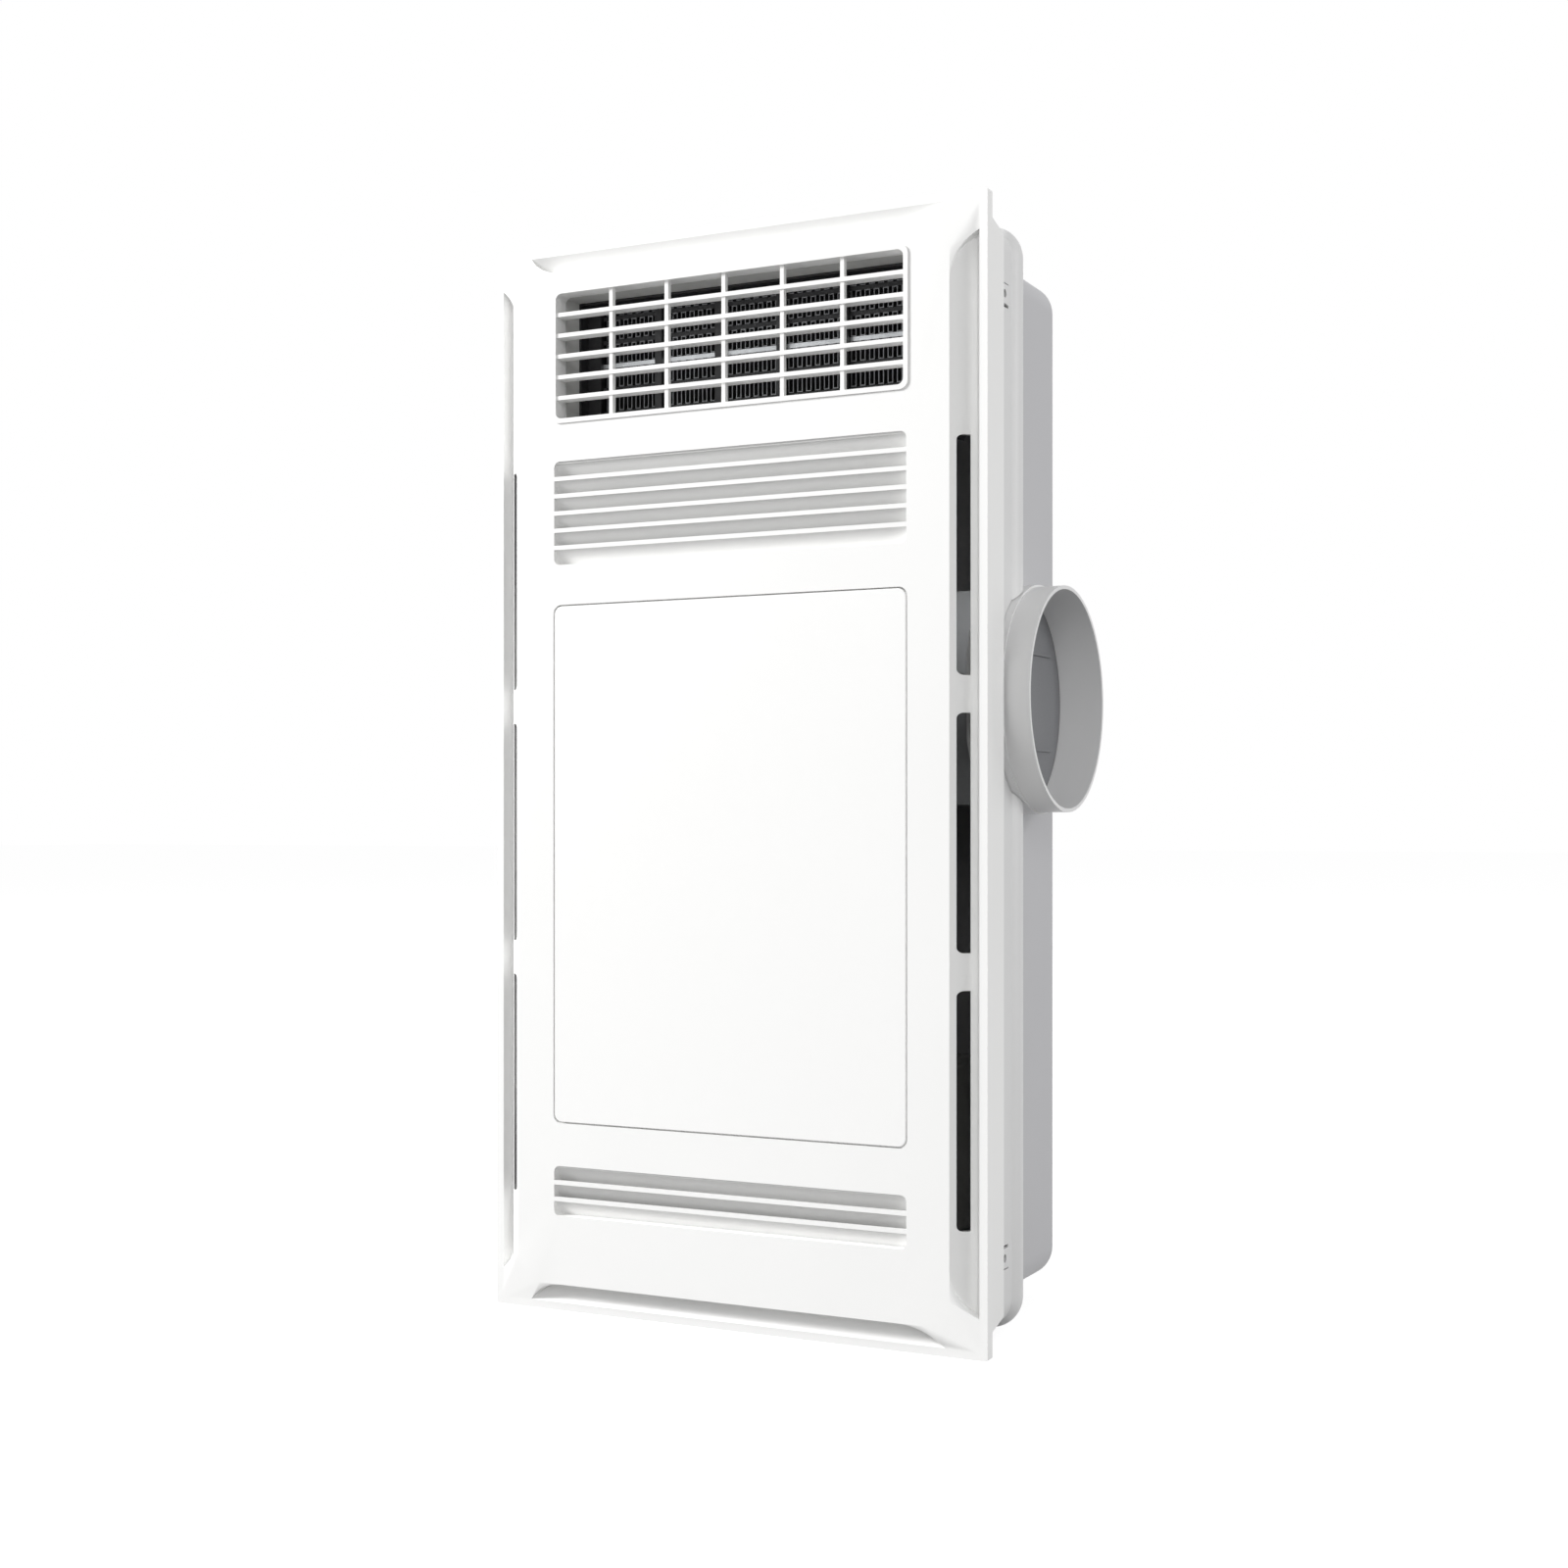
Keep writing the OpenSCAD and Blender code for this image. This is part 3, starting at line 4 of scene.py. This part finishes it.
import bpy
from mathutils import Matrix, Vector


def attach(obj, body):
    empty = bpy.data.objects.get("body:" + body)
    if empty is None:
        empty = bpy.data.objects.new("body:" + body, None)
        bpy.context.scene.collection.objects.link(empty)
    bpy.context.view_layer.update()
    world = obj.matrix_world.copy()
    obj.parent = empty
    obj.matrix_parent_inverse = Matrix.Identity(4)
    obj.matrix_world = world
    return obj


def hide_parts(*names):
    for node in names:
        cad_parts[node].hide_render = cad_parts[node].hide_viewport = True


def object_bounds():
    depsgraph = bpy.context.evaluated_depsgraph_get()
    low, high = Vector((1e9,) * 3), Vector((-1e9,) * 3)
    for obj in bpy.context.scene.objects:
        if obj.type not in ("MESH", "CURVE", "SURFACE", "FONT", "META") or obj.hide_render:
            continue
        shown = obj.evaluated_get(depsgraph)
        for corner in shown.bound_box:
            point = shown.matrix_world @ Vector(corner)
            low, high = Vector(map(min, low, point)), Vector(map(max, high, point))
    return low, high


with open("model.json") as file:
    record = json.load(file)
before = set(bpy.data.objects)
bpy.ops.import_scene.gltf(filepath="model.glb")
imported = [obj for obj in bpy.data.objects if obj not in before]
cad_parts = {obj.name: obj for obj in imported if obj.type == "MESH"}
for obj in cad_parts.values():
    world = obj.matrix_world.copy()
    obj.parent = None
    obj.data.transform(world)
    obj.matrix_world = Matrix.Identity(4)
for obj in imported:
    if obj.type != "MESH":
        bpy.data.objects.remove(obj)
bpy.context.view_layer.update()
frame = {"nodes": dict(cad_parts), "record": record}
nodes = frame["nodes"]
bpy.ops.object.select_all(action="DESELECT")

MM = 0.001
WHITE = (1, 1, 1, 1)
SLOT_OF = {s["node"]: s["material_slot"] for s in frame["record"]["subparts"]}
BODY_OF = {node: body for body, members in frame["record"]["behaviour"]["bodies"].items()
           for node in members}


# Small tools

def linear(colour):
    """Turns an sRGB hex colour into the linear colour that a shader takes."""
    parts = [int(colour[i:i + 2], 16) / 255 for i in (1, 3, 5)]
    return (*[p / 12.92 if p <= 0.04045 else ((p + 0.055) / 1.055) ** 2.4 for p in parts], 1)


def add(owner, kind, links=None, **settings):
    """Adds a shader node to a material or the world. A link's value is a socket or a plain
    value."""
    tree = owner.node_tree
    made = tree.nodes.new("ShaderNode" + kind)
    for key, value in settings.items():
        setattr(made, key, value)
    for socket, value in (links or {}).items():
        if isinstance(value, bpy.types.NodeSocket):
            tree.links.new(value, made.inputs[socket])
        else:
            made.inputs[socket].default_value = value
    return made


def blank(name, **values):
    """A material with its Principled shader, whose plain values are set on its own sockets."""
    material = bpy.data.materials.new(name)
    material.use_nodes = True
    shader = material.node_tree.nodes["Principled BSDF"]
    for socket, value in values.items():
        shader.inputs[socket.replace("_", " ")].default_value = value
    return material, shader


def noise(material, place, size_mm, detail):
    """Noise whose clouds or grains are about this large."""
    return add(material, "TexNoise", {"Vector": place, "Scale": 1 / (size_mm * MM),
                                      "Detail": detail}).outputs["Fac"]


def tint(material, factor, colour, deep):
    """One colour that drifts into a deeper one."""
    return add(material, "Mix", {"Factor": factor, "A": linear(colour), "B": linear(deep)},
               data_type="RGBA").outputs["Result"]


def spread(material, factor, low, high, start=0.0, end=1.0):
    """The factor's part from start to end, laid out from low to high."""
    return add(material, "MapRange", {"Value": factor, "From Min": start, "From Max": end,
                                      "To Min": low, "To Max": high}).outputs["Result"]


def relief(material, height, strength, depth_mm):
    """A fine relief of the surface."""
    return add(material, "Bump", {"Height": height, "Strength": strength,
                                  "Distance": depth_mm * MM}).outputs["Normal"]


def dress(material, shader, **fed):
    """Feeds the finish's sockets into its shader."""
    for socket, source in fed.items():
        material.node_tree.links.new(source, shader.inputs[socket.replace("_", " ")])
    return material


# Finishes

def moulded(name, colour, deep, roughness, grain_mm, depth_mm=0.012, ior=1.53):
    """Injection moulding. The mould's spark-eroded grain breaks up the gloss, and the colour is a
    little deeper in soft clouds where the melt flowed."""
    material, shader = blank(name, IOR=ior)
    place = add(material, "TexCoord").outputs["Object"]
    flow = noise(material, place, 90, 2.0)
    grain = noise(material, place, grain_mm, 3.0)
    return dress(material, shader, Base_Color=tint(material, flow, colour, deep),
                 Roughness=spread(material, grain, roughness - 0.05, roughness + 0.07, 0.3, 0.7),
                 Normal=relief(material, grain, 0.35, depth_mm))


def coated_steel(name, colour, deep, roughness=0.42, peel_mm=2.2):
    """Powder-coated sheet. The baked powder leaves a low orange peel of about 2 mm and a fine
    speckle of the grains that didn't level out."""
    material, shader = blank(name, IOR=1.5)
    place = add(material, "TexCoord").outputs["Object"]
    peel = noise(material, place, peel_mm, 1.0)
    speck = noise(material, place, 0.5, 2.0)
    cloud = noise(material, place, 140, 2.0)
    height = add(material, "Math", {0: peel, 1: speck}, operation="ADD").outputs["Value"]
    return dress(material, shader, Base_Color=tint(material, cloud, colour, deep),
                 Roughness=spread(material, speck, roughness - 0.08, roughness + 0.1),
                 Normal=relief(material, height, 0.4, 0.02))


def rolled_metal(name, colour, deep, roughness, along, streak_mm):
    """Bare metal as rolled or drawn: fine streaks along the way it went through the rolls. along
    gives how many times longer a streak is on each axis."""
    material, shader = blank(name, Metallic=1.0)
    place = add(material, "TexCoord").outputs["Object"]
    drawn = add(material, "Mapping", {"Vector": place, "Scale": tuple(1 / a for a in along)})
    streak = noise(material, drawn.outputs["Vector"], streak_mm, 4.0)
    stain = noise(material, place, 25, 3.0)
    return dress(material, shader, Base_Color=tint(material, stain, colour, deep),
                 Roughness=spread(material, streak, roughness - 0.1, roughness + 0.14),
                 Normal=relief(material, streak, 0.25, 0.01))


def opal_sheet():
    """Opal acrylic over the light: milky, so light goes a little way in, with a polished skin and
    the faint unevenness of its diffusing grains."""
    material, shader = blank("opal_acrylic", IOR=1.49, Subsurface_Weight=0.06,
                             Subsurface_Scale=1.5 * MM, Subsurface_Radius=(1.0, 1.0, 1.0))
    place = add(material, "TexCoord").outputs["Object"]
    milk = noise(material, place, 60, 2.0)
    skin = noise(material, place, 8, 1.0)
    return dress(material, shader, Base_Color=tint(material, milk, "#fdfdfc", "#fcfcfb"),
                 Roughness=spread(material, skin, 0.26, 0.36))


def circuit_board(name, mask, track, pad_mm=5.0):
    """Glass-epoxy board under solder mask. Copper tracks stand out as a paler tone under it."""
    material, shader = blank(name, IOR=1.52)
    place = add(material, "TexCoord").outputs["Object"]
    flat = add(material, "Mapping", {"Vector": place, "Rotation": (radians(90), 0, 0)})
    tracks = add(material, "TexBrick", {
        "Vector": flat.outputs["Vector"], "Scale": 1.0, "Mortar Size": 0.45 * MM,
        "Brick Width": 2.2 * pad_mm * MM, "Row Height": 0.7 * pad_mm * MM,
        "Color1": linear(mask), "Color2": linear(mask), "Mortar": linear(track)})
    weave = noise(material, place, 0.8, 2.0)
    return dress(material, shader, Base_Color=tracks.outputs["Color"],
                 Roughness=spread(material, weave, 0.22, 0.4),
                 Normal=relief(material, tracks.outputs["Fac"], 0.3, 0.04))


ALONG_X, ALONG_Y = (14, 1, 1), (1, 14, 1)
TURNED = (1, 1, 1)

FINISH = {
    "abs_white": moulded("white_abs", "#fcfcfb", "#f8f8f7", 0.33, 0.7),
    "opal": opal_sheet(),
    "pan_white": coated_steel("white_powder_coat", "#f2f2f0", "#eaeae8"),
    "board_white": circuit_board("white_solder_mask", "#efefec", "#dfdfd8", 9.0),
    "phosphor": moulded("phosphor_resin", "#e9c95a", "#e0b83e", 0.4, 0.3, 0.02, 1.41),
    "driver_white": moulded("polycarbonate_white", "#e6e6e0", "#dcdcd5", 0.45, 0.8, 0.02, 1.58),
    "zinc_screw": rolled_metal("zinc_plated_steel", "#c9ccd1", "#b4b8be", 0.3, TURNED, 0.5),
    "spring_steel": rolled_metal("spring_steel", "#a9abae", "#8f9296", 0.32, ALONG_X, 0.5),
    "tray_white": coated_steel("pale_powder_coat", "#e9e9e9", "#e2e2e2"),
    "housing_grey": coated_steel("grey_powder_coat", "#c6c6c9", "#bfbfc2"),
    "collar_white": moulded("pale_abs", "#f0f0f0", "#e9e9e9", 0.36, 0.7),
    "damper_grey": moulded("grey_polypropylene", "#7e7f82", "#747578", 0.46, 0.9, 0.02, 1.49),
    "duct_grey": moulded("glass_filled_nylon", "#d2d2d0", "#c6c6c4", 0.55, 0.5, 0.03),
    "heater_black": moulded("black_nylon", "#1d1d1f", "#141416", 0.5, 0.6, 0.03),
    "strip_alu": rolled_metal("rolled_aluminium", "#dfe1e3", "#cfd2d5", 0.28, (16, 1, 1), 0.6),
    # strip_dark holds the same aluminium strips as strip_alu, coloured near black as painted
    # shade so that they read as lying in shadow behind the grille; only the strip_alu strip shows
    # its bare metal.
    "strip_dark": coated_steel("aluminium_painted_shade", "#2a2a2c", "#202022", 0.5, 1.6),
    "fin_alu": rolled_metal("dull_rolled_aluminium", "#8d8e90", "#77787a", 0.45, ALONG_Y, 0.5),
    "terminal_brass": rolled_metal("tinned_brass", "#d2bd84", "#bfa768", 0.3, (1, 1, 8), 0.5),
    "cutout_tan": moulded("tan_phenolic", "#b89a72", "#a98b64", 0.45, 0.6, 0.02, 1.6),
    "fan_grey": coated_steel("galvanised_coat", "#c6c8ca", "#b9bbbd", 0.45, 3.0),
    "motor_steel": rolled_metal("motor_lamination_steel", "#9b9da1", "#85878b", 0.38, ALONG_X,
                                0.5),
    "bush_rubber": moulded("black_rubber", "#1b1b1b", "#121212", 0.7, 1.0, 0.05, 1.52),
    "wheel_white": moulded("polypropylene_natural", "#e4e6e6", "#dadcdc", 0.4, 0.8, 0.015, 1.49),
    "shaft_steel": rolled_metal("ground_steel", "#cfd1d4", "#bfc1c5", 0.22, TURNED, 0.4),
    "nut_brass": rolled_metal("turned_brass", "#d2bd84", "#bfa768", 0.26, TURNED, 0.4),
    "box_white": moulded("flame_retardant_abs", "#e6e6e2", "#dededa", 0.42, 0.8, 0.02),
    "board_green": circuit_board("green_solder_mask", "#14663a", "#2a8351"),
    "relay_blue": moulded("blue_pbt", "#2556a6", "#1d4a94", 0.38, 0.6, 0.015, 1.55),
    "capacitor_grey": moulded("grey_epoxy_case", "#6b6d70", "#606265", 0.5, 0.9, 0.03, 1.55),
    "terminal_white": moulded("polyamide_natural", "#e9e9e2", "#dfdfd6", 0.5, 0.7, 0.02),
    "gland_grey": moulded("dark_polyamide", "#4c4d50", "#434447", 0.5, 0.7, 0.02),
}

for node, slot_name in SLOT_OF.items():
    for slot in nodes[node].material_slots:
        slot.material = FINISH[slot_name]


# Pieces

EDGE_RADIUS_MM = {"front_panel": 0.35, "outlet_grille": 0.35, "light_diffuser": 0.4,
                  "chassis_tray": 0.4, "rear_housing": 0.4, "duct_collar": 0.35}
SHARP_EDGE, SMOOTH_EDGE = radians(32), radians(40)


def edges_rounded(node, radius_mm):
    """The node's solid with its edges rounded as the mould or the press leaves them."""
    piece = bpy.data.objects.new(node + "_finished", nodes[node].data.copy())
    bpy.context.scene.collection.objects.link(piece)
    bpy.ops.object.select_all(action="DESELECT")
    piece.select_set(True)
    bpy.context.view_layer.objects.active = piece
    bpy.ops.object.mode_set(mode="EDIT")
    bpy.ops.mesh.select_all(action="SELECT")
    bpy.ops.mesh.remove_doubles(threshold=0.005 * MM)
    bpy.ops.mesh.dissolve_limited(angle_limit=radians(0.5))
    bpy.ops.object.mode_set(mode="OBJECT")
    bevel = piece.modifiers.new("edge_radius", "BEVEL")
    bevel.width = radius_mm * MM
    bevel.segments = 2
    bevel.limit_method = "ANGLE"
    bevel.angle_limit = SHARP_EDGE
    bpy.ops.object.modifier_apply(modifier=bevel.name)
    bpy.ops.object.shade_smooth_by_angle(angle=SMOOTH_EDGE)
    flats = piece.modifiers.new("flats_stay_flat", "WEIGHTED_NORMAL")
    flats.keep_sharp = True
    bpy.ops.object.modifier_apply(modifier=flats.name)
    piece.data.materials.clear()
    piece.data.materials.append(FINISH[SLOT_OF[node]])
    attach(piece, BODY_OF[node])
    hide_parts(node)


for node, radius_mm in EDGE_RADIUS_MM.items():
    edges_rounded(node, radius_mm)


# Floor, backdrop, light and camera

FLOOR_GLOW = 0.9
AMBIENT = 0.34


def looked_at(owner):
    """1 for rays from the camera, off gloss and through clear pieces, and 0 for light."""
    ray = add(owner, "LightPath")
    seen = ray.outputs["Is Camera Ray"]
    for kind in ("Is Glossy Ray", "Is Transmission Ray"):
        seen = add(owner, "Math", {0: seen, 1: ray.outputs[kind]},
                   operation="MAXIMUM").outputs["Value"]
    return seen


def floor_material():
    """White to the camera and in gloss, and a plain grey floor to the light on the object."""
    material, shader = blank("floor_white", Base_Color=linear("#8c8c8c"), Roughness=0.9,
                             Specular_IOR_Level=0.0)
    strength = add(material, "Math", {0: looked_at(material), 1: FLOOR_GLOW},
                   operation="MULTIPLY")
    glow = add(material, "Emission", {"Color": WHITE, "Strength": strength.outputs["Value"]})
    both = add(material, "AddShader", {0: shader.outputs["BSDF"], 1: glow.outputs["Emission"]})
    end = material.node_tree.nodes["Material Output"]
    material.node_tree.links.new(both.outputs["Shader"], end.inputs["Surface"])
    return material


bpy.ops.mesh.primitive_plane_add(size=40, location=(0, 0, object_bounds()[0][2]))
floor = bpy.context.object
floor.name = "floor"
floor.data.materials.append(floor_material())

world = bpy.data.worlds.new("studio")
bpy.context.scene.world = world
world.use_nodes = True
backdrop = world.node_tree.nodes["Background"]
backdrop.inputs["Color"].default_value = WHITE
world.node_tree.links.new(spread(world, looked_at(world), AMBIENT, 1.0),
                          backdrop.inputs["Strength"])


def softbox(name, place, size, power):
    """A square lamp at this place that points at the object's middle."""
    lamp = bpy.data.lights.new(name, "AREA")
    lamp.shape = "SQUARE"
    lamp.size = size
    lamp.energy = power
    holder = bpy.data.objects.new(name, lamp)
    bpy.context.scene.collection.objects.link(holder)
    holder.location = place
    holder.rotation_euler = (-Vector(place)).to_track_quat("-Z", "Y").to_euler()


softbox("left_softbox", (-3.1, -1.9, 2.2), 1.3, 222)
softbox("front_softbox", (1.7, -3.0, 1.3), 1.5, 24)
softbox("right_softbox", (2.7, 0.5, 0.6), 1.4, 24)

lens = bpy.data.cameras.new("studio_camera")
lens.lens = 48.4
lens.sensor_width = 36
lens.shift_y = 0.025
lens.clip_start = 0.02
lens.clip_end = 60
camera = bpy.data.objects.new("studio_camera", lens)
bpy.context.scene.collection.objects.link(camera)
camera.location = (0.537, -1.016, -0.025)
camera.rotation_euler = (radians(90), 0, radians(26.5))
bpy.context.scene.camera = camera
bpy.context.scene.view_settings.view_transform = "Standard"
